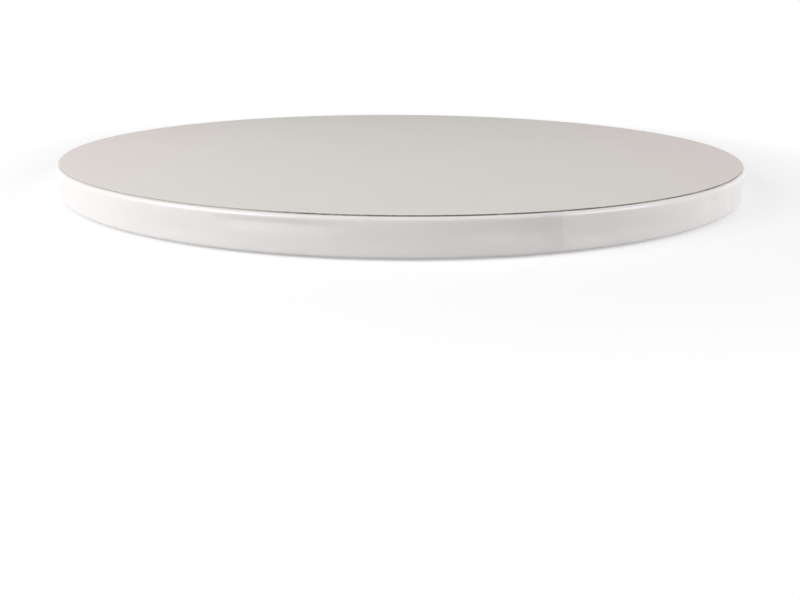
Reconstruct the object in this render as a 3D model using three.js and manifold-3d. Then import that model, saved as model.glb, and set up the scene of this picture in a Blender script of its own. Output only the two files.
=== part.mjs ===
// Round cake board of the thick kind, a cake drum, glued up from paper and board.
// A core of three corrugated plies is bound by a paper band with notched flaps turned in
// over both faces, and a cover sheet on each face hides the flaps.
// Millimetres, +Z up, origin at the centre of the underside.

import * as THREE from "three";
import { mergeVertices } from "three/addons/utils/BufferGeometryUtils.js";
import Module from "manifold-3d";

const wasm = await Module();
wasm.setup();

// The board
const boardDiameter = 304.8;
const boardThickness = 13;
const roundSegments = 96;

// Cover sheets, each set back from where the band starts to turn down
const topSheetThickness = 0.4;
const topSheetSetback = 0.2;
const baseSheetThickness = 0.4;
const baseSheetSetback = 2.2;

// Band round the edge
const bandThickness = 0.3;
const shoulderRadius = 1.2;
const shoulderSegments = 3;
const flapWidth = 12;
const notchCount = 48;
const notchDepth = 6.5;
const notchMouth = 4;

// Lap where the tail of the band is glued over its head, with the angles measured from
// the front (-Y) towards the right (+X)
const lapEndAngle = THREE.MathUtils.degToRad(17.7);
const lapLength = 15;

// Corrugated plies of the core, from the underside up
const plyNames = ["core_ply_bottom", "core_ply_middle", "core_ply_top"];
const linerThickness = 0.25;
const mediumThickness = 0.25;
const flutePitch = 7.8;
const crestWidth = 1.3;
const coreClearance = 0.3;
const coreSegments = 60;

// Sizes that follow from those above
const boardRadius = boardDiameter / 2;
const topSheetBottom = boardThickness - topSheetThickness;
const faceRadius = boardRadius - shoulderRadius;
const coreRadius = faceRadius - coreClearance;
const coreBottom = baseSheetThickness + bandThickness;
const coreTop = topSheetBottom - bandThickness;
const plyThickness = (coreTop - coreBottom) / plyNames.length;

// Cutting tools reach this far past what they cut.
const overcut = 1;

// A closed geometry as a solid that can be cut and joined.
function solidOf(geometry) {
  geometry.deleteAttribute("normal");
  geometry.deleteAttribute("uv");
  const merged = mergeVertices(geometry, 1e-4);
  return new wasm.Manifold(
    new wasm.Mesh({
      numProp: 3,
      vertProperties: merged.attributes.position.array,
      triVerts: new Uint32Array(merged.index.array),
    }),
  );
}

// The faces of a solid as a geometry, flat shaded.
function geometryOf(solid) {
  const mesh = solid.getMesh();
  const geometry = new THREE.BufferGeometry();
  geometry.setAttribute(
    "position",
    new THREE.BufferAttribute(new Float32Array(mesh.vertProperties), 3),
  );
  geometry.setIndex(new THREE.BufferAttribute(new Uint32Array(mesh.triVerts), 1));
  const flat = geometry.toNonIndexed();
  flat.computeVertexNormals();
  return flat;
}

// A profile of (radius, height) points turned round the Z axis, starting at the front.
function revolve(points, segments = roundSegments) {
  return new THREE.LatheGeometry(points, segments).rotateX(Math.PI / 2);
}

// A plain round disc between two heights.
function disc(radius, bottom, top, segments = roundSegments) {
  const profile = [
    new THREE.Vector2(0, bottom),
    new THREE.Vector2(radius, bottom),
    new THREE.Vector2(radius, top),
    new THREE.Vector2(0, top),
  ];
  return revolve(profile, segments);
}

// A point in plan, at an angle from the front towards the right.
function planPoint(radius, angle) {
  return new THREE.Vector2(radius * Math.sin(angle), -radius * Math.cos(angle));
}

// A plan outline as a prism from below the board to above it.
function prism(outline) {
  const depth = boardThickness + 2 * overcut;
  const geometry = new THREE.ExtrudeGeometry(new THREE.Shape(outline), {
    depth,
    bevelEnabled: false,
  });
  return solidOf(geometry.translate(0, 0, -overcut));
}

// A quarter round of a profile, from one angle to the next, in radians from +radius.
function quarterRound(centreRadius, centreHeight, radius, from, to) {
  const arc = new THREE.Path().absarc(centreRadius, centreHeight, radius, from, to);
  return arc.getSpacedPoints(shoulderSegments);
}

// The side of the band as it runs from the underside, round both shoulders, to the top,
// at a distance outside the band's own outer face.
function bandSide(outset) {
  const radius = shoulderRadius + outset;
  const low = baseSheetThickness + shoulderRadius;
  const high = topSheetBottom - shoulderRadius;
  return [
    ...quarterRound(faceRadius, low, radius, -Math.PI / 2, 0),
    ...quarterRound(faceRadius, high, radius, 0, Math.PI / 2),
  ];
}

// One notch of the flaps: a V that opens inwards, cut through both flaps at once.
function notch(angle) {
  const innerRadius = boardRadius - flapWidth;
  const root = planPoint(innerRadius + notchDepth, angle);
  const mouthRadius = innerRadius - overcut;
  const halfMouth = (notchMouth / 2) * ((notchDepth + overcut) / notchDepth);
  const halfAngle = Math.atan(halfMouth / mouthRadius);
  return prism([
    root,
    planPoint(mouthRadius, angle + halfAngle),
    planPoint(mouthRadius, angle - halfAngle),
  ]);
}

// The tail of the band, which lies over its head for the length of the lap. Half of the
// thickness is sunk into the head, so that the two are one piece.
function lapTail() {
  const outer = bandSide(bandThickness);
  const inner = bandSide(-bandThickness / 2).reverse();
  const ring = solidOf(revolve([...outer, ...inner, outer[0]]));
  const reach = boardRadius + 2 * bandThickness + overcut;
  const sector = prism([
    new THREE.Vector2(0, 0),
    planPoint(reach, lapEndAngle - lapLength / boardRadius),
    planPoint(reach, lapEndAngle),
  ]);
  return ring.intersect(sector);
}

// The paper band: round the core, with a flap turned in over each face.
function edgeBand() {
  const innerRadius = boardRadius - flapWidth;
  const outer = bandSide(0);
  const inner = bandSide(-bandThickness).reverse();
  const profile = [
    new THREE.Vector2(innerRadius, baseSheetThickness),
    ...outer,
    new THREE.Vector2(innerRadius, topSheetBottom),
    new THREE.Vector2(innerRadius, coreTop),
    ...inner,
    new THREE.Vector2(innerRadius, coreBottom),
    new THREE.Vector2(innerRadius, baseSheetThickness),
  ];
  let band = solidOf(revolve(profile)).add(lapTail());
  for (let i = 0; i < notchCount; i++) {
    band = band.subtract(notch(((i + 0.5) * 2 * Math.PI) / notchCount));
  }
  return geometryOf(band);
}

// The hollow under or over one flute, right across the ply along Y. Its narrow side is
// the inside of a crest, where the medium is glued to a liner.
function channel(centre, narrowHeight, wideHeight) {
  const depth = plyThickness - 2 * linerThickness - mediumThickness;
  const halfCrest = crestWidth / 2;
  const flank = flutePitch / 2 - crestWidth;
  const webWidth = (mediumThickness * Math.hypot(flank, depth)) / depth;
  const run = ((flank - webWidth) * depth) / (depth - mediumThickness);
  const outline = new THREE.Shape([
    new THREE.Vector2(centre - halfCrest, narrowHeight),
    new THREE.Vector2(centre + halfCrest, narrowHeight),
    new THREE.Vector2(centre + halfCrest + run, wideHeight),
    new THREE.Vector2(centre - halfCrest - run, wideHeight),
  ]);
  const length = 2 * (coreRadius + overcut);
  const geometry = new THREE.ExtrudeGeometry(outline, { depth: length, bevelEnabled: false });
  return geometry.rotateX(Math.PI / 2).translate(0, length / 2, 0);
}

// The hollows of a whole ply: over each trough of the medium and under each crest.
function channels() {
  const innerTop = plyThickness - linerThickness;
  const flutesEachSide = Math.floor((coreRadius + crestWidth) / flutePitch);
  const hollows = [];
  for (let i = -flutesEachSide; i <= flutesEachSide; i++) {
    hollows.push(channel(i * flutePitch, linerThickness + mediumThickness, innerTop));
  }
  for (let i = -flutesEachSide; i < flutesEachSide; i++) {
    const centre = (i + 0.5) * flutePitch;
    hollows.push(channel(centre, innerTop - mediumThickness, linerThickness));
  }
  return hollows;
}

// One ply of the core. Every other ply has its flutes turned a quarter turn.
function corePly(index) {
  const bottom = coreBottom + index * plyThickness;
  const turn = index % 2 === 1 ? Math.PI / 2 : 0;
  let ply = solidOf(disc(coreRadius, bottom, bottom + plyThickness, coreSegments));
  for (const hollow of channels()) {
    ply = ply.subtract(solidOf(hollow.rotateZ(turn).translate(0, 0, bottom)));
  }
  return geometryOf(ply);
}

const topPaper = new THREE.MeshStandardMaterial({ color: 0xd9d4d0, roughness: 0.55 });
const bandPaper = new THREE.MeshStandardMaterial({ color: 0xe4e3e3, roughness: 0.3 });
const basePaper = new THREE.MeshStandardMaterial({ color: 0xe0ddd9, roughness: 0.75 });
const kraftBoard = new THREE.MeshStandardMaterial({ color: 0xb08d62, roughness: 0.9 });

const cakeBoard = new THREE.Group();

function addPiece(name, geometry, material) {
  const mesh = new THREE.Mesh(geometry, material);
  mesh.name = name;
  cakeBoard.add(mesh);
}

const baseSheet = disc(faceRadius - baseSheetSetback, 0, baseSheetThickness);
const topSheet = disc(faceRadius - topSheetSetback, topSheetBottom, boardThickness);
addPiece("base_sheet", baseSheet, basePaper);
plyNames.forEach((name, index) => addPiece(name, corePly(index), kraftBoard.clone()));
addPiece("edge_band", edgeBand(), bandPaper);
addPiece("top_sheet", topSheet, topPaper);

export default cakeBoard;
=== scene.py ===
"""A round cake board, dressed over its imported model: a glossy paper band round the edge,
a satin sheet on top with its raw cut edge, a plain sheet underneath and a kraft core, on a
pale floor under soft studio lamps."""

import math

import bpy
from mathutils import Matrix, Vector, noise


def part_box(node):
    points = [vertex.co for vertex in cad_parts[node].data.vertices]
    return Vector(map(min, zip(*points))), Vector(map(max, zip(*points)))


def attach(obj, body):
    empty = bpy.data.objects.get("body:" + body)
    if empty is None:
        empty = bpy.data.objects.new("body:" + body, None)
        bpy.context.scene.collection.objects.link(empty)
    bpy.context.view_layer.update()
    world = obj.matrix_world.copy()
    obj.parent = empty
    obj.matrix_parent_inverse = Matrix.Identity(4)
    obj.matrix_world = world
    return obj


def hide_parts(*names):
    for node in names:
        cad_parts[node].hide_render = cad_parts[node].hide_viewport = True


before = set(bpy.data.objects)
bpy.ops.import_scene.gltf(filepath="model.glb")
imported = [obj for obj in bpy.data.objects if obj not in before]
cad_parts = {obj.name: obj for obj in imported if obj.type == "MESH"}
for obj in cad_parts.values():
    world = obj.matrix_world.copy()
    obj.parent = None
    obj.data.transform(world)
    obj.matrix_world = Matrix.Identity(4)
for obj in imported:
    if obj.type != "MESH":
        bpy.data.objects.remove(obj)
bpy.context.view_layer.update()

bl_info = {
    "name": "Cake Board",
    "version": (1, 0, 0),
    "blender": (4, 5, 0),
    "location": "3D View > Sidebar > Cake Board",
    "description": "Builds a round cake board with a paper band and cover sheets",
    "category": "Add Mesh",
}

TOP_LOW, TOP_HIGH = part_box("top_sheet")
BASE_LOW, BASE_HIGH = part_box("base_sheet")
BOARD_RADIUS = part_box("edge_band")[1].x
PLIES = ("core_ply_top", "core_ply_middle", "core_ply_bottom")

MM = 0.001
RIM_STEPS = 960

# The face of a cover sheet has this many rings round its rim, for the relief of the tabs.
FACE_RINGS = 16
RING_WIDTH = 0.85 * MM

# Angles in radians over which marks on the band come and go: the tail's rise where it
# begins, the two ends of the crease, and the painted shade on the lap's tail before and
# after the tail begins and at its sharp end.
TAIL_RISE = 0.03
CREASE_IN, CREASE_OUT = 0.08, 0.12
LAP_SHADE_BEFORE, LAP_SHADE_AFTER, LAP_SHADE_END = 0.02, 0.05, 0.001

# The stretch of the upper shoulder that is dulled, in degrees: where it begins, is fully
# dull, starts to clear and ends.
RUBBED = (25, 34, 45, 54)

# Softboxes: name, place, width and height in metres, and the setting for the power.
LAMPS = (
    ("left_softbox", (-0.585, -0.375, 0.325), (0.5, 0.4), "left_power"),
    ("right_softbox", (0.775, -0.22, 0.226), (0.85, 0.42), "right_power"),
    ("top_strip", (0, -0.1, 1.1), (1.2, 0.25), "top_power"),
)

# Distances from the board's axis, in metres, over which the floor's glow rises to white,
# and the glow that it starts with.
GLOW_NEAR, GLOW_FAR = 0.17, 0.5
GLOW_START = 0.46

# Soft hollows that handling has left in the band: the angle of the middle from the front
# towards the right in degrees, then its drop below the top face, its reach along the rim
# and up or down to where it has mostly faded, and its depth, in millimetres.
HOLLOWS = (
    (15.4, 5.4, 3.2, 7.0, 0.55),
    (22.6, 6.0, 8.0, 7.0, 0.42),
    (11.0, 5.0, 16, 3.0, 0.44),
    (22.0, 7.9, 9, 2.3, 0.26),
    (28.5, 7.0, 6, 3.0, 0.22),
    (43.0, 3.6, 4.5, 2.6, 0.42),
    (51.0, 7.5, 4.5, 3.0, 0.34),
    (34.0, 8.5, 9, 2.5, 0.18),
    (-27.0, 8.0, 16, 2.8, 0.20),
    (-41.0, 6.0, 7, 4.0, 0.16),
    (-51.0, 4.0, 7, 2.4, 0.20),
    (-3.0, 8.0, 14, 2.8, 0.16),
    (78.0, 5.0, 12, 2.5, 0.24),
    (118.0, 8.0, 9, 2.0, 0.22),
    (163.0, 4.5, 14, 2.4, 0.25),
    (-98.0, 7.0, 12, 2.4, 0.23),
    (-140.0, 5.0, 8, 2.0, 0.24),
)


def length(name, description, default):
    """A size in metres, shown in the scene's own unit."""
    return bpy.props.FloatProperty(
        name=name, description=description, default=default, unit="LENGTH", precision=5
    )


def angle(name, description, degrees):
    """An angle, counted from the front towards the right where it is a place on the rim."""
    return bpy.props.FloatProperty(
        name=name, description=description, default=math.radians(degrees), unit="ROTATION"
    )


def colour(name, description, default):
    return bpy.props.FloatVectorProperty(
        name=name, description=description, default=default, subtype="COLOR", min=0, max=1
    )


def share(name, description, default):
    return bpy.props.FloatProperty(
        name=name, description=description, default=default, subtype="FACTOR", min=0, max=1
    )


class BandSizes(bpy.types.PropertyGroup):
    """The paper band round the edge."""

    paper: length("Paper", "Thickness of the band", 0.3 * MM)
    shoulder: length("Shoulder", "Radius where the band turns on to each face", 1.2 * MM)
    flap: length("Flap", "How far the band is turned in from the rim", 12 * MM)
    notches: bpy.props.IntProperty(
        name="Notches", description="V notches in each flap", default=48, min=3
    )
    notch_depth: length("Notch depth", "Depth of a notch from the flap's edge", 6.5 * MM)
    notch_mouth: length("Notch mouth", "Width of a notch at the flap's edge", 4 * MM)
    lap_end: angle("Lap end", "Where the tail of the band ends over its head", 17.7)
    lap_length: length("Lap", "Length of the tail that lies over the head", 15 * MM)
    lap_rise: length("Lap rise", "How far the tail stands proud of the head", 0.2 * MM)
    waves: length("Waves", "Height of the long, shallow waves in the paper", 0.05 * MM)
    crimps: length("Crimps", "Height of the small folds along each shoulder", 0.09 * MM)
    colour: colour("Colour", "Coated white paper", (0.732, 0.706, 0.699))


class CreaseSizes(bpy.types.PropertyGroup):
    """The shallow crease pressed into the band below the top edge, left of the front."""

    start: angle("Start", "Where the crease begins", -22.0)
    end: angle("End", "Where the crease fades out", -4.0)
    drop: length("Drop", "Height of the top face above the crease", 3.1 * MM)
    depth: length("Depth", "How deep the crease is pressed", 0.44 * MM)
    width: length("Width", "How far above its deepest line it dips", 0.8 * MM)
    fade: length("Fade", "How far below its deepest line it comes out again", 2.2 * MM)


class SheetSizes(bpy.types.PropertyGroup):
    """The cover sheets on the two faces."""

    wander: length("Wander", "How far the cut wanders from a true circle", 0.05 * MM)
    burr: length("Burr", "Radius of the pressed upper edge of the cut", 0.06 * MM)
    telegraph: length("Telegraph", "Relief of the band's tabs under a sheet", 0.05 * MM)
    top_colour: colour("Top", "Satin lining board", (0.708, 0.673, 0.643))
    # raw board in the cut, darkened in part as painted shadow of the gap between sheet and
    # band
    edge_colour: colour("Cut edge", "Raw board in the cut", (0.2, 0.179, 0.16))
    # the paler colour that the cut edge takes towards the left
    left_edge_colour: colour("Clean cut", "Board in the cut, not torn", (0.5, 0.465, 0.43))
    base_colour: colour("Base", "Uncoated lining paper", (0.72, 0.69, 0.66))
    kraft_colour: colour("Core", "Kraft corrugated board", (0.42, 0.27, 0.15))


class StageSizes(bpy.types.PropertyGroup):
    """The camera, the lamps and the floor."""

    camera_reach: length("Reach", "Camera in front of the board's centre", 326.9 * MM)
    camera_height: length("Height", "Camera above the top face", 42.2 * MM)
    camera_tilt: angle("Tilt", "Camera below the level", 20.9)
    camera_roll: angle("Roll", "Camera turned about its own axis", 0.33)
    focal: bpy.props.FloatProperty(
        name="Focal length", description="Lens on a 36 mm wide sensor", default=29.34
    )
    left_power: bpy.props.FloatProperty(
        name="Left lamp", description="Power of the left softbox in watts", default=4.75
    )
    right_power: bpy.props.FloatProperty(
        name="Right lamp", description="Power of the right softbox in watts", default=4.7
    )
    top_power: bpy.props.FloatProperty(
        name="Top lamp", description="Power of the overhead strip in watts", default=1.2
    )
    room: share("Room", "Brightness of the room's own grey light", 0.28)
    floor_colour: colour("Floor", "Pale floor", (0.55, 0.55, 0.55))


SETTINGS = {
    "cake_band": BandSizes,
    "cake_crease": CreaseSizes,
    "cake_sheets": SheetSizes,
    "cake_stage": StageSizes,
}


class Signal:
    """A node's output that takes part in arithmetic by adding Math nodes."""

    def __init__(self, tree, socket):
        self.tree = tree
        self.socket = socket

    def maths(self, operation, first, second):
        node = self.tree.nodes.new("ShaderNodeMath")
        node.operation = operation
        for slot, value in zip(node.inputs, (first, second)):
            feed(self.tree, slot, value)
        return Signal(self.tree, node.outputs[0])

    def __add__(self, other):
        return self.maths("ADD", self, other)

    def __radd__(self, other):
        return self.maths("ADD", other, self)

    def __sub__(self, other):
        return self.maths("SUBTRACT", self, other)

    def __rsub__(self, other):
        return self.maths("SUBTRACT", other, self)

    def __mul__(self, other):
        return self.maths("MULTIPLY", self, other)

    def __rmul__(self, other):
        return self.maths("MULTIPLY", other, self)


def feed(tree, slot, value):
    """Links a signal to a socket, or writes a plain value on it."""
    if isinstance(value, Signal):
        tree.links.new(value.socket, slot)
    elif hasattr(value, "__len__") and len(value) == 3 and slot.type == "RGBA":
        slot.default_value = (*value, 1)
    else:
        slot.default_value = value


class Finish:
    """A procedural material, with the nodes that feed its shader."""

    def __init__(self, name, slot_colour):
        self.material = bpy.data.materials.new(name)
        self.material.use_nodes = True
        self.material.diffuse_color = (*slot_colour, 1)
        self.tree = self.material.node_tree
        self.shader = self.tree.nodes["Principled BSDF"]

    def node(self, kind, output, settings=(), values=()):
        """Adds any node and gives one of its outputs, by name or by number."""
        node = self.tree.nodes.new(kind)
        for key, value in dict(settings).items():
            setattr(node, key, value)
        for key, value in dict(values).items():
            feed(self.tree, node.inputs[key], value)
        return Signal(self.tree, node.outputs[output])

    def place(self, stretch=(1, 1, 1)):
        """Positions on the piece, in metres, stretched along each axis."""
        values = {"Vector": self.node("ShaderNodeTexCoord", "Object"), "Scale": stretch}
        return self.node("ShaderNodeMapping", "Vector", {}, values)

    def along(self, axis):
        """How far along an axis a spot on the piece lies, in metres."""
        return self.node("ShaderNodeSeparateXYZ", axis, {}, {"Vector": self.place()})

    def grain(self, size, detail=3, stretch=(1, 1, 1)):
        """Noise from 0 to 1 with lumps of about this size in metres."""
        values = {"Vector": self.place(stretch), "Scale": 1 / size, "Detail": detail}
        return self.node("ShaderNodeTexNoise", "Fac", {}, values)

    def blend(self, factor, first, second):
        """One colour fading into another."""
        values = {0: factor, 6: first, 7: second}
        return self.node("ShaderNodeMix", 2, {"data_type": "RGBA"}, values)

    def between(self, signal, low, high):
        """Where a signal stands from low to high, as a smooth step from 0 to 1."""
        values = {"Value": signal, "From Min": low, "From Max": high}
        smooth = {"interpolation_type": "SMOOTHSTEP"}
        return self.node("ShaderNodeMapRange", "Result", smooth, values)

    def bump(self, height, depth, strength=1.0):
        """A relief of this depth in metres, fed to the shader's normal."""
        values = {"Height": height, "Distance": depth, "Strength": strength}
        self.set("Normal", self.node("ShaderNodeBump", "Normal", {}, values))

    def set(self, socket, value):
        feed(self.tree, self.shader.inputs[socket], value)


def shade(tone, factor):
    """A colour made lighter or darker by a factor."""
    return tuple(channel * factor for channel in tone)


def rim_place(finish):
    """The angle of a spot on the band, from the front towards the right, and its height."""
    right = finish.along("X")
    return right.maths("ARCTAN2", right, 0 - finish.along("Y")), finish.along("Z")


def painted_lap_shade(finish, band):
    """How much painted shade darkens and greys the lap's tail, up to its sharp end: more
    above than below."""
    turn, up = rim_place(finish)
    start = band.lap_end - band.lap_length / BOARD_RADIUS
    risen = finish.between(turn, start - LAP_SHADE_BEFORE, start + LAP_SHADE_AFTER)
    ended = finish.between(turn, band.lap_end - LAP_SHADE_END, band.lap_end + LAP_SHADE_END)
    return (risen - ended) * (0.4 + 0.6 * finish.between(up, 1 * MM, 10 * MM))


def rubbed_shoulder(finish, band):
    """How much handling has dulled the band's upper shoulder, on a stretch at the right."""
    turn, up = rim_place(finish)
    begin, full, clearing, end = (math.radians(degrees) for degrees in RUBBED)
    begun = finish.between(turn, begin, full)
    ended = finish.between(turn, clearing, end)
    low = TOP_LOW.z - 1.5 * band.shoulder
    return (begun - ended) * finish.between(up, low, low + band.shoulder)


def band_finish(band):
    """Coated white paper: smooth and glossy, with a faint cloudiness, darker and greyer on
    the lap's tail as painted shade, and duller where the shoulder is rubbed."""
    tone = tuple(band.colour)
    finish = Finish("band_paper", tone)
    cloud = finish.grain(14 * MM)
    fleck = finish.grain(0.5 * MM, detail=5)
    mottle = 0.6 * cloud + 0.4 * fleck
    paper = finish.blend(mottle, shade(tone, 0.975), shade(tone, 1.025))
    # painted shade: a darker, greyer copy of the paper for the lap's tail, mixed in more
    # towards the top
    lap_shade_colour = shade((tone[0] * 0.985, tone[1], tone[2]), 0.94)
    finish.set("Base Color", finish.blend(painted_lap_shade(finish, band), paper, lap_shade_colour))
    dull = rubbed_shoulder(finish, band)
    finish.set("Roughness", 0.26 + 0.1 * fleck + 0.4 * dull)
    finish.set("Coat Weight", 0.25 - 0.25 * dull)
    finish.set("Coat Roughness", 0.12)
    finish.bump(fleck, 0.012 * MM, 0.35)
    return finish.material


def top_finish(tone):
    """Satin lining board: warm white with a fine tooth, rosier towards both sides."""
    finish = Finish("top_paper", tone)
    tooth = finish.grain(0.35 * MM, detail=4)
    cloud = finish.grain(22 * MM, detail=2)
    fibre = finish.grain(0.9 * MM, detail=3, stretch=(1, 0.25, 1))
    mottle = 0.35 * cloud + 0.35 * tooth + 0.3 * fibre
    across = finish.along("X")
    middle = 1 - finish.between(across * across, (60 * MM) ** 2, (130 * MM) ** 2)
    rosy = (tone[0] * 1.008, tone[1] * 0.975, tone[2] * 0.99)
    plain = (tone[0] * 0.995, tone[1] * 1.01, tone[2])
    dark = finish.blend(middle, shade(rosy, 0.94), shade(plain, 0.94))
    light = finish.blend(middle, shade(rosy, 1.06), shade(plain, 1.06))
    finish.set("Base Color", finish.blend(mottle, dark, light))
    finish.set("Roughness", 0.58 + 0.1 * tooth)
    finish.set("Specular IOR Level", 0.25)
    finish.bump(tooth + fibre, 0.02 * MM, 0.3)
    return finish.material


def cut_edge_finish(name, tone, pale):
    """Raw grey board in the cut of a sheet, darkened in part as painted shadow of the gap
    between the sheet and the band, with torn fibres, darker spells that are partly painted
    shadow, and paler towards the left."""
    finish = Finish(name, tone)
    spell = 0.55 * finish.grain(11 * MM, detail=2)
    spell += 0.45 * finish.grain(1.3 * MM, detail=2)
    fibre = finish.grain(0.25 * MM, detail=4, stretch=(1, 1, 0.3))
    leftward = 1 - finish.between(finish.along("X"), -50 * MM, -25 * MM)
    # painted shadow: the darker spells along the cut stand partly for the shadow of the gap
    # between sheet and band
    dark = finish.between(spell - 0.3 * leftward, 0.4, 0.58)
    board_and_gap_shadow = finish.blend(dark, shade(tone, 1.6), shade(tone, 0.8))
    tint = finish.blend(0.8 * leftward, board_and_gap_shadow, pale)
    finish.set("Base Color", finish.blend(0.35 * fibre, tint, shade(tone, 0.5)))
    finish.set("Roughness", 0.9)
    finish.bump(fibre, 0.04 * MM, 0.6)
    return finish.material


def base_finish(tone):
    """Uncoated lining paper with visible fibres."""
    finish = Finish("base_paper", tone)
    tooth = finish.grain(0.3 * MM, detail=5)
    fibre = finish.grain(2.2 * MM, detail=5, stretch=(0.3, 1, 1))
    cloud = finish.grain(18 * MM, detail=2)
    mottle = 0.4 * cloud + 0.35 * fibre + 0.25 * tooth
    finish.set("Base Color", finish.blend(mottle, shade(tone, 0.93), shade(tone, 1.05)))
    finish.set("Roughness", 0.74 + 0.14 * tooth)
    finish.bump(tooth + fibre, 0.03 * MM, 0.4)
    return finish.material


def kraft_finish(tone):
    """Brown kraft board with long fibres and flecks."""
    finish = Finish("kraft_board", tone)
    fibre = finish.grain(1.6 * MM, detail=6, stretch=(1, 0.2, 1))
    fleck = finish.grain(0.4 * MM, detail=2)
    speck = finish.between(fleck, 0.62, 0.72)
    tint = finish.blend(fibre, shade(tone, 0.8), shade(tone, 1.2))
    finish.set("Base Color", finish.blend(0.5 * speck, tint, shade(tone, 0.45)))
    finish.set("Roughness", 0.85 + 0.1 * fibre)
    finish.bump(fibre, 0.04 * MM, 0.5)
    return finish.material


def deselect():
    bpy.ops.object.select_all(action="DESELECT")


def edit():
    bpy.ops.object.mode_set(mode="EDIT")
    bpy.ops.mesh.select_all(action="SELECT")


def leave_edit():
    bpy.ops.object.mode_set(mode="OBJECT")


def settle():
    """Puts the active object's place into its mesh."""
    bpy.ops.object.transform_apply(location=True, rotation=True, scale=True)


def finish_piece(piece, name, materials):
    """Names a finished piece, dresses it and lets it ride with the board."""
    piece.name = name
    piece.data.name = name
    for material in materials:
        piece.data.materials.append(material)
    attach(piece, "root")


def around(point):
    """The angle of a point round the board, from the front towards the right."""
    return math.atan2(point.x, -point.y)


def at(radius, turn, height):
    return Vector((radius * math.sin(turn), -radius * math.cos(turn), height))


def bell(distance, width):
    """1 at no distance, fading smoothly to nothing past a width."""
    return math.exp(-((distance / width) ** 2))


def smooth_step(value, low, high):
    t = min(1, max(0, (value - low) / (high - low)))
    return t * t * (3 - 2 * t)


def quarter_round(centre, radius, start, end, steps):
    """Points of a profile round a corner, as (radius, height)."""
    turns = [start + (end - start) * i / steps for i in range(steps + 1)]
    return [
        (centre[0] + radius * math.cos(t), centre[1] + radius * math.sin(t)) for t in turns
    ]


def evenly(first, last, steps):
    """Points of a profile from one (radius, height) to another, both left out."""
    return [
        tuple(a + (b - a) * i / steps for a, b in zip(first, last)) for i in range(1, steps)
    ]


def band_profile(band):
    """The outside of the band, from the inner edge of the top flap to that of the other."""
    top, bottom = TOP_LOW.z, BASE_HIGH.z
    inner = BOARD_RADIUS - band.flap
    face = BOARD_RADIUS - band.shoulder
    quarter = math.pi / 2
    upper = quarter_round((face, top - band.shoulder), band.shoulder, quarter, 0, 8)
    lower = quarter_round((face, bottom + band.shoulder), band.shoulder, 0, -quarter, 6)
    points = [(inner, top), *evenly((inner, top), upper[0], 4), *upper]
    points += evenly(upper[-1], lower[0], 15)
    points += [*lower, *evenly(lower[-1], (inner, bottom), 3), (inner, bottom)]
    return points


def extrude_rings(points):
    """Carries a ring of edges along a profile of (radius, height)."""
    bpy.ops.mesh.primitive_circle_add(
        vertices=RIM_STEPS, radius=points[0][0], location=(0, 0, points[0][1])
    )
    settle()
    edit()
    for (radius, height), (next_radius, next_height) in zip(points, points[1:]):
        bpy.ops.mesh.extrude_edges_move()
        scale = next_radius / radius
        bpy.ops.transform.resize(value=(scale, scale, 1), center_override=(0, 0, height))
        bpy.ops.transform.translate(value=(0, 0, next_height - height))
    leave_edit()
    return bpy.context.object


def thicken(piece, thickness):
    """Gives an open shell its wall, on the inner side."""
    wall = piece.modifiers.new("wall", "SOLIDIFY")
    wall.thickness = thickness
    wall.offset = -1
    wall.use_even_offset = True
    bpy.ops.object.modifier_apply(modifier=wall.name)


def notch_cutters(band):
    """A ring of V prisms that cut both flaps at once, each moved into shape from a
    three-sided cylinder."""
    inner = BOARD_RADIUS - band.flap
    past = 1 * MM
    root = inner + band.notch_depth
    mouth = inner - past
    half = band.notch_mouth / 2 * (band.notch_depth + past) / band.notch_depth
    bpy.ops.mesh.primitive_cylinder_add(
        vertices=3, radius=1, depth=TOP_HIGH.z + 2 * past, location=(0, 0, TOP_HIGH.z / 2)
    )
    settle()
    model = bpy.context.object
    spread = math.atan(half / mouth)
    corners = [(root, 0), (mouth, spread), (mouth, -spread)]
    places = [(round(v.co.x, 6), round(v.co.y, 6)) for v in model.data.vertices]
    order = sorted(set(places), key=lambda place: math.atan2(place[1], place[0]))
    for vertex, place in zip(model.data.vertices, places):
        radius, turn = corners[order.index(place)]
        vertex.co = at(radius, turn, vertex.co.z)
    turned = []
    for i in range(band.notches):
        copy = model.copy()
        copy.data = model.data.copy()
        copy.data.transform(Matrix.Rotation((i + 0.5) * 2 * math.pi / band.notches, 4, "Z"))
        bpy.context.scene.collection.objects.link(copy)
        turned.append(copy)
    bpy.data.objects.remove(model)
    deselect()
    for copy in turned:
        copy.select_set(True)
    bpy.context.view_layer.objects.active = turned[0]
    bpy.ops.object.join()
    edit()
    bpy.ops.mesh.normals_make_consistent(inside=False)
    leave_edit()
    return bpy.context.object


def cut(piece, cutter):
    """Takes the cutter out of the piece, and merges the points that the cut has left
    almost on one another."""
    deselect()
    piece.select_set(True)
    bpy.context.view_layer.objects.active = piece
    notch = piece.modifiers.new("notches", "BOOLEAN")
    notch.operation = "DIFFERENCE"
    notch.solver = "EXACT"
    notch.object = cutter
    faces = len(piece.data.polygons)
    bpy.ops.object.modifier_apply(modifier=notch.name)
    if len(piece.data.polygons) == faces:
        raise RuntimeError("The notches were not cut into the band")
    bpy.data.objects.remove(cutter)
    edit()
    bpy.ops.mesh.remove_doubles(threshold=0.002 * MM)
    leave_edit()


def close_lap_columns(piece, lap_end):
    """Brings the two columns of points beside the lap's end together, so that the end of
    the paper is a crisp upright step."""
    column = 2 * math.pi / RIM_STEPS
    before = math.floor(lap_end / column) * column
    hair = 0.02 * MM / BOARD_RADIUS
    for vertex in piece.data.vertices:
        radius = vertex.co.xy.length
        turn = around(vertex.co)
        for place, moved in ((before, lap_end - hair), (before + column, lap_end + hair)):
            if abs(turn - place) < column / 50:
                vertex.co = at(radius, moved, vertex.co.z)


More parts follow.
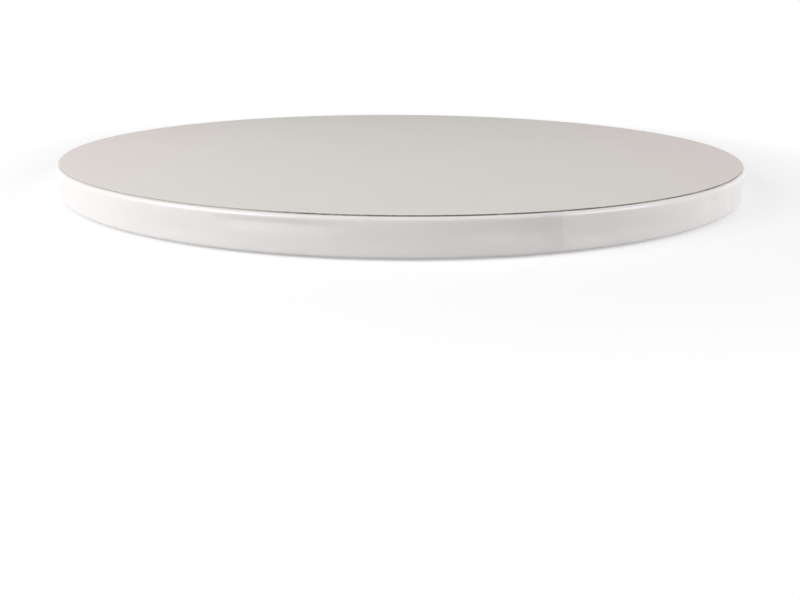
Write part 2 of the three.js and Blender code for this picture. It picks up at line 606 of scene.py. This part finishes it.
def band_relief(context, turn, height):
    """How far the band's side stands out or in, at an angle and a height. Only the lap's
    tail stands out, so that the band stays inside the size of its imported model."""
    band, crease = context.scene.cake_band, context.scene.cake_crease
    top = TOP_HIGH.z
    ring = Vector((math.sin(turn), -math.cos(turn), 0)) * BOARD_RADIUS
    spot = ring + Vector((0, 0, 2.2 * height))
    relief = band.waves * (noise.noise(spot / (17 * MM)) - 0.6)
    to_edge = min(top - height, height)
    near_edge = 1 - smooth_step(to_edge, 1.2 * MM, 3.2 * MM)
    fold = noise.noise((ring + Vector((0, 0, 0.8 * height))) / (4.5 * MM))
    relief += band.crimps * near_edge * (fold - 0.6)
    along = smooth_step(turn, crease.start, crease.start + CREASE_IN)
    along *= 1 - smooth_step(turn, crease.end - CREASE_OUT, crease.end)
    sag = 0.15 * MM * math.sin(turn * BOARD_RADIUS / (9 * MM))
    above = height - (top - crease.drop + sag)
    reach = crease.width if above > 0 else crease.fade
    relief -= crease.depth * along * bell(above, reach)
    for place, drop, reach, rise, depth in HOLLOWS:
        beside = (turn - math.radians(place)) * BOARD_RADIUS
        above = height - (top - drop * MM)
        relief -= depth * MM * bell(beside, reach * MM) * bell(above, rise * MM)
    lap_start = band.lap_end - band.lap_length / BOARD_RADIUS
    tail = smooth_step(turn, lap_start - TAIL_RISE, lap_start) * (turn < band.lap_end)
    return min(0, relief) + band.lap_rise * tail


class CAKE_OT_edge_band(bpy.types.Operator):
    """Paper band round the edge, with notched flaps, a lap and the marks of handling"""

    bl_idname = "cake.edge_band"
    bl_label = "Edge band"

    def execute(self, context):
        band = context.scene.cake_band
        deselect()
        piece = extrude_rings(band_profile(band))
        wall = max(piece.data.polygons, key=lambda face: face.center.xy.length)
        if wall.normal.dot(Vector((*wall.center.xy, 0))) < 0:
            edit()
            bpy.ops.mesh.flip_normals()
            leave_edit()
        thicken(piece, band.paper)
        cut(piece, notch_cutters(band))
        close_lap_columns(piece, band.lap_end)
        side = BOARD_RADIUS - 2 * band.shoulder
        for vertex in piece.data.vertices:
            radius = vertex.co.xy.length
            if radius > side:
                turn = around(vertex.co)
                blend = smooth_step(radius, side, BOARD_RADIUS - band.shoulder / 2)
                grown = radius + blend * band_relief(context, turn, vertex.co.z)
                vertex.co = at(min(grown, BOARD_RADIUS + band.lap_rise), turn, vertex.co.z)
        bpy.ops.object.shade_smooth_by_angle(angle=math.radians(32))
        finish_piece(piece, "edge_band_paper", [band_finish(band)])
        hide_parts("edge_band")
        return {"FINISHED"}


def select_faces(piece, wanted):
    """Selects the faces of the edited mesh that a test picks, and nothing else."""
    leave_edit()
    for part in (piece.data.vertices, piece.data.edges):
        part.foreach_set("select", [False] * len(part))
    for face in piece.data.polygons:
        face.select = wanted(face)
    bpy.ops.object.mode_set(mode="EDIT")


def tab_support(band, radius, turn):
    """1 where a tab or the band lies under a sheet, 0 where nothing does, and between the
    two over the millimetre and a half that the sheet takes to bridge the edge."""
    inner = BOARD_RADIUS - band.flap
    pitch = 2 * math.pi / band.notches
    from_notch = abs((turn / pitch) % 1 - 0.5) * pitch * radius
    open_share = max(0, (inner + band.notch_depth - radius) / band.notch_depth)
    half_width = band.notch_mouth / 2 * open_share
    ring = smooth_step(radius, inner - 1.2 * MM, inner + 0.3 * MM)
    beside = smooth_step(from_notch, half_width - 0.6 * MM, half_width + 0.8 * MM)
    return ring * (1 - open_share * (1 - beside))


def cover_sheet(context, low, high, outward):
    """A disc cut from board: rings towards its middle on the face that shows, a pressed
    edge round the cut, and the faint relief of the band's tabs underneath."""
    sheets, band = context.scene.cake_sheets, context.scene.cake_band
    radius = high.x
    bpy.ops.mesh.primitive_cylinder_add(
        vertices=RIM_STEPS,
        radius=radius,
        depth=high.z - low.z,
        end_fill_type="NGON",
        location=(0, 0, (low.z + high.z) / 2),
    )
    settle()
    piece = context.object
    edit()
    select_faces(piece, lambda face: face.normal.z * outward > 0.9)
    bpy.ops.mesh.bevel(offset=sheets.burr, segments=2, profile=0.5, affect="EDGES")
    select_faces(piece, lambda face: face.normal.z * outward > 0.999)
    for _ in range(FACE_RINGS):
        bpy.ops.mesh.inset(thickness=RING_WIDTH, depth=0)
    leave_edit()
    for vertex in piece.data.vertices:
        from_axis = vertex.co.xy.length
        turn = around(vertex.co)
        ring = at(BOARD_RADIUS, turn, 0)
        edge = smooth_step(from_axis, radius - 1 * MM, radius - 0.2 * MM)
        wandered = from_axis + edge * sheets.wander * (noise.noise(ring / (9 * MM)) - 1)
        height = vertex.co.z
        if (height - (low.z + high.z) / 2) * outward > 0:
            sunk = sheets.telegraph * (1 - tab_support(band, from_axis, turn))
            height -= outward * sunk
        vertex.co = at(wandered, turn, height)
    bpy.ops.object.shade_smooth_by_angle(angle=math.radians(50))
    return piece


def dress_cut(piece, radius):
    """Gives the cut edge of a sheet, with its burr, the second material."""
    for face in piece.data.polygons:
        if abs(face.normal.z) < 0.97 and face.center.xy.length > radius - 1 * MM:
            face.material_index = 1


class CAKE_OT_top_sheet(bpy.types.Operator):
    """Satin sheet on the upper face, with its raw cut edge"""

    bl_idname = "cake.top_sheet"
    bl_label = "Top sheet"

    def execute(self, context):
        sheets = context.scene.cake_sheets
        deselect()
        piece = cover_sheet(context, TOP_LOW, TOP_HIGH, 1)
        paper = top_finish(sheets.top_colour)
        edge = cut_edge_finish("cut_edge", sheets.edge_colour, sheets.left_edge_colour)
        finish_piece(piece, "top_sheet_board", [paper, edge])
        dress_cut(piece, TOP_HIGH.x)
        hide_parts("top_sheet")
        return {"FINISHED"}


class CAKE_OT_base_sheet(bpy.types.Operator):
    """Plain sheet on the underside"""

    bl_idname = "cake.base_sheet"
    bl_label = "Base sheet"

    def execute(self, context):
        sheets = context.scene.cake_sheets
        deselect()
        piece = cover_sheet(context, BASE_LOW, BASE_HIGH, -1)
        paper = base_finish(sheets.base_colour)
        edge = cut_edge_finish("base_cut_edge", sheets.edge_colour, sheets.left_edge_colour)
        finish_piece(piece, "base_sheet_paper", [paper, edge])
        dress_cut(piece, BASE_HIGH.x)
        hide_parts("base_sheet")
        return {"FINISHED"}


class CAKE_OT_core(bpy.types.Operator):
    """Kraft finish on the corrugated plies inside"""

    bl_idname = "cake.core"
    bl_label = "Core plies"

    def execute(self, context):
        kraft = kraft_finish(context.scene.cake_sheets.kraft_colour)
        for name in PLIES:
            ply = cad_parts[name]
            ply.data.materials.clear()
            ply.data.materials.append(kraft)
        return {"FINISHED"}


def add_lamp(name, place, size, power):
    """A soft rectangular lamp that looks at the middle of the board's top."""
    lamp = bpy.data.lights.new(name, "AREA")
    lamp.shape = "RECTANGLE"
    lamp.size, lamp.size_y = size
    lamp.energy = power
    holder = bpy.data.objects.new(name, lamp)
    direction = Vector((0, 0, TOP_HIGH.z)) - Vector(place)
    turned = direction.to_track_quat("-Z", "Y").to_matrix().to_4x4()
    holder.matrix_world = Matrix.Translation(place) @ turned
    bpy.context.scene.collection.objects.link(holder)


def add_camera(stage):
    """A camera in front of the board, looking down on it."""
    lens = bpy.data.cameras.new("camera")
    lens.sensor_width = 36
    lens.lens = stage.focal
    camera = bpy.data.objects.new("camera", lens)
    place = Matrix.Translation((0, -stage.camera_reach, TOP_HIGH.z + stage.camera_height))
    tilt = Matrix.Rotation(math.pi / 2 - stage.camera_tilt, 4, "X")
    roll = Matrix.Rotation(stage.camera_roll, 4, "Z")
    camera.matrix_world = place @ tilt @ roll
    bpy.context.scene.collection.objects.link(camera)
    bpy.context.scene.camera = camera


def seen_directly(tree):
    """1 for rays from the camera, mirrors and glass, 0 for rays that carry light."""
    path = tree.nodes.new("ShaderNodeLightPath")
    camera, glossy, through = (
        Signal(tree, path.outputs[n])
        for n in ("Is Camera Ray", "Is Glossy Ray", "Is Transmission Ray")
    )
    return camera + glossy + through


def light_room(stage):
    """A grey room that lights the board, in front of a white background."""
    world = bpy.data.worlds.new("room")
    world.use_nodes = True
    bpy.context.scene.world = world
    tree = world.node_tree
    background = tree.nodes["Background"]
    background.inputs["Color"].default_value = (1, 1, 1, 1)
    strength = stage.room + (1 - stage.room) * seen_directly(tree)
    feed(tree, background.inputs["Strength"], strength)


def show_underside(finish, away):
    """Makes the floor see-through from below, and where the board covers it, so that the
    board's underside can be looked at."""
    tree = finish.tree
    clear = tree.nodes.new("ShaderNodeBsdfTransparent")
    below = finish.node("ShaderNodeNewGeometry", "Backfacing")
    covered = 1 - finish.between(away, BASE_HIGH.x - 1 * MM, BASE_HIGH.x - 0.5 * MM)
    mix = tree.nodes.new("ShaderNodeMixShader")
    feed(tree, mix.inputs[0], below.maths("MAXIMUM", below, covered))
    tree.links.new(finish.shader.outputs["BSDF"], mix.inputs[1])
    tree.links.new(clear.outputs["BSDF"], mix.inputs[2])
    tree.links.new(mix.outputs["Shader"], tree.nodes["Material Output"].inputs["Surface"])


def add_floor(stage):
    """A pale floor that keeps the board's shadow and fades to white away from it."""
    bpy.ops.mesh.primitive_plane_add(size=24, location=(0, 0, -0.05 * MM))
    settle()
    floor = bpy.context.object
    floor.name = "floor"
    finish = Finish("floor", stage.floor_colour)
    finish.set("Base Color", stage.floor_colour)
    finish.set("Roughness", 0.9)
    finish.set("Specular IOR Level", 0.0)
    measure = {"operation": "LENGTH"}
    away = finish.node("ShaderNodeVectorMath", "Value", measure, {0: finish.place()})
    glow = GLOW_START + (1 - GLOW_START) * finish.between(away, GLOW_NEAR, GLOW_FAR)
    seen = glow * seen_directly(finish.tree)
    finish.set("Emission Color", finish.blend(seen, (0, 0, 0), (1, 1, 1)))
    finish.set("Emission Strength", 1)
    show_underside(finish, away)
    floor.data.materials.append(finish.material)


class CAKE_OT_stage(bpy.types.Operator):
    """Camera, softboxes, grey room and pale floor"""

    bl_idname = "cake.stage"
    bl_label = "Stage"

    def execute(self, context):
        stage = context.scene.cake_stage
        deselect()
        add_camera(stage)
        for name, place, size, power in LAMPS:
            add_lamp(name, place, size, getattr(stage, power))
        light_room(stage)
        add_floor(stage)
        context.scene.view_settings.view_transform = "Standard"
        return {"FINISHED"}


OPERATORS = (
    CAKE_OT_edge_band,
    CAKE_OT_top_sheet,
    CAKE_OT_base_sheet,
    CAKE_OT_core,
    CAKE_OT_stage,
)


class CAKE_PT_panel(bpy.types.Panel):
    """The board's pieces and sizes, in the 3D view's sidebar"""

    bl_label = "Cake Board"
    bl_idname = "CAKE_PT_panel"
    bl_space_type = "VIEW_3D"
    bl_region_type = "UI"
    bl_category = "Cake Board"

    def draw(self, context):
        for operator in OPERATORS:
            self.layout.operator(operator.bl_idname)
        for name, group in SETTINGS.items():
            box = self.layout.box()
            for size in group.__annotations__:
                box.prop(getattr(context.scene, name), size)


def register():
    for group in SETTINGS.values():
        bpy.utils.register_class(group)
    for name, group in SETTINGS.items():
        setattr(bpy.types.Scene, name, bpy.props.PointerProperty(type=group))
    for operator in OPERATORS:
        bpy.utils.register_class(operator)
    bpy.utils.register_class(CAKE_PT_panel)


def unregister():
    bpy.utils.unregister_class(CAKE_PT_panel)
    for operator in reversed(OPERATORS):
        bpy.utils.unregister_class(operator)
    for name in SETTINGS:
        delattr(bpy.types.Scene, name)
    for group in reversed(SETTINGS.values()):
        bpy.utils.unregister_class(group)


def main():
    register()
    bpy.ops.cake.stage()
    bpy.ops.cake.edge_band()
    bpy.ops.cake.top_sheet()
    bpy.ops.cake.base_sheet()
    bpy.ops.cake.core()


if __name__ == "__main__":
    main()
